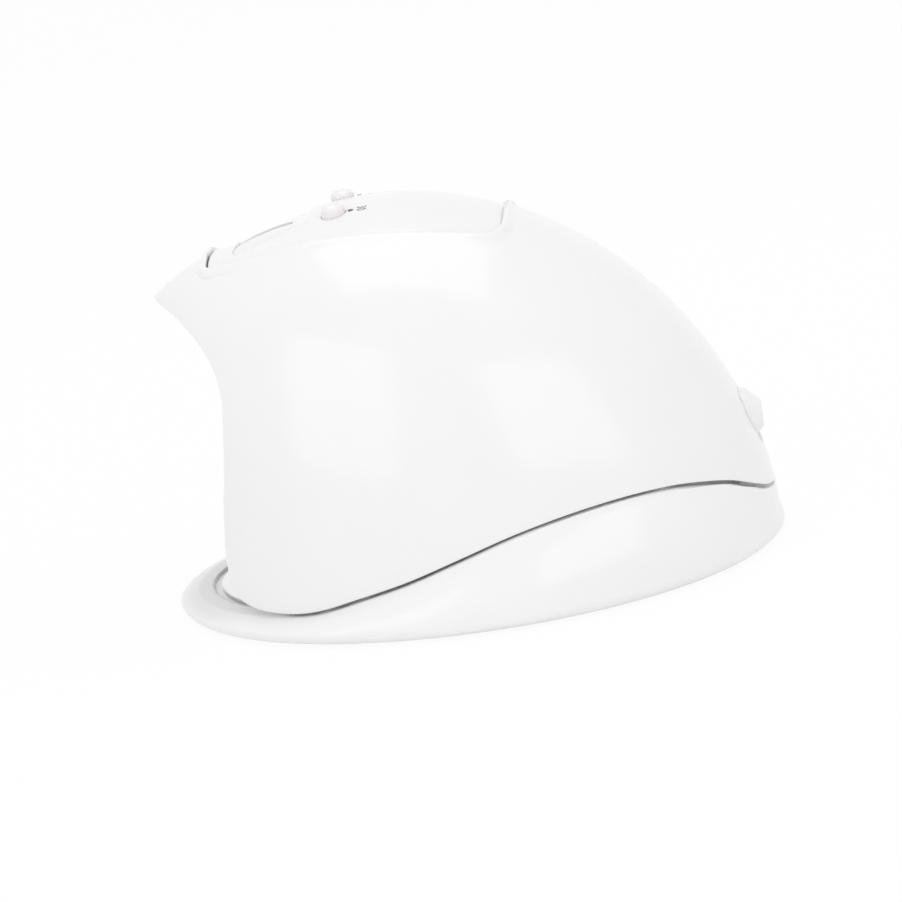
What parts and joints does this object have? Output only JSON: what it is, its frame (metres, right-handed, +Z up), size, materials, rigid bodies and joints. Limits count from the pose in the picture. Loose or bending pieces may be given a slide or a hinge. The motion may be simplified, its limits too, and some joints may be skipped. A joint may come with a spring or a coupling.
{
  "type": "gel nail lamp",
  "caption": "Gel nail curing lamp: a glossy white helmet-shaped head with a beaked hand opening, timer buttons and display on top, resting on an oval base tray",
  "frame": {"origin": "the middle of the base's outline, on the table", "axes": "+Z up, +Y from the hand opening to the rear with the power inlet, X across the head"},
  "size_m": [0.163, 0.2, 0.1273],
  "materials": {
    "white_gloss": "high-gloss white moulding",
    "white_satin": "satin white moulding",
    "button_white": "milky white moulding",
    "mirror_lining": "bright metallised lining",
    "board_green": "green circuit board",
    "strip_white": "white coated circuit board",
    "lens_clear": "clear moulded lens",
    "smoked_window": "dark smoked window",
    "black_plastic": "black moulding",
    "steel": "zinc-plated steel",
    "nickel": "bright nickel plating",
    "rubber": "pale grey rubber"
  },
  "bodies": {
    "base": {"base_tray": "white_gloss", "base_cover": "white_satin", "reflector_plate": "mirror_lining", "foot_front_left": "rubber", "foot_front_right": "rubber", "foot_rear_left": "rubber", "foot_rear_right": "rubber", "base_magnet_front_left": "nickel", "base_magnet_front_right": "nickel", "base_magnet_rear_left": "nickel", "base_magnet_rear_right": "nickel", "base_screw_front_left": "steel", "base_screw_front_right": "steel", "base_screw_rear_left": "steel", "base_screw_rear_right": "steel"},
    "head": {"head_shell": "white_gloss", "control_panel": "white_gloss", "inlet_bush": "white_gloss", "inner_reflector": "mirror_lining", "head_magnet_front_left": "nickel", "head_magnet_front_right": "nickel", "head_magnet_rear_left": "nickel", "head_magnet_rear_right": "nickel", "inlet_pin": "nickel", "board_screw_front_left": "steel", "board_screw_front_right": "steel", "board_screw_rear_left": "steel", "board_screw_rear_right": "steel", "head_screw_left": "steel", "head_screw_right": "steel", "display_window": "smoked_window", "display_module": "black_plastic", "switch_left": "black_plastic", "switch_right": "black_plastic", "sensor_emitter": "black_plastic", "sensor_receiver": "black_plastic", "inlet_socket": "black_plastic", "panel_board": "board_green", "main_board": "board_green", "light_pipe_left": "lens_clear", "light_pipe_right": "lens_clear", "led_bead_1_1": "lens_clear", "led_bead_1_2": "lens_clear", "led_bead_1_3": "lens_clear", "led_bead_1_4": "lens_clear", "led_bead_2_1": "lens_clear", "led_bead_2_2": "lens_clear", "led_bead_2_3": "lens_clear", "led_bead_2_4": "lens_clear", "led_bead_3_1": "lens_clear", "led_bead_3_2": "lens_clear", "led_bead_3_3": "lens_clear", "led_bead_3_4": "lens_clear", "led_strip_1": "strip_white", "led_strip_2": "strip_white", "led_strip_3": "strip_white"},
    "button_left": {"timer_button_left": "button_white", "switch_plunger_left": "button_white"},
    "button_right": {"timer_button_right": "button_white", "switch_plunger_right": "button_white"}
  },
  "joints": [
    {"name": "head_lift", "type": "slide", "parent": "base", "child": "head", "axis": [0, 0, 1], "range_m": [0, 0.06]},
    {"name": "button_left_press", "type": "slide", "parent": "head", "child": "button_left", "axis": [0, 0, -1], "range_m": [0, 0.0008], "stiffness_N_per_m": 1200, "springref_m": -0.001},
    {"name": "button_right_press", "type": "slide", "parent": "head", "child": "button_right", "axis": [0, 0, -1], "range_m": [0, 0.0008], "stiffness_N_per_m": 1200, "springref_m": -0.001}
  ]
}
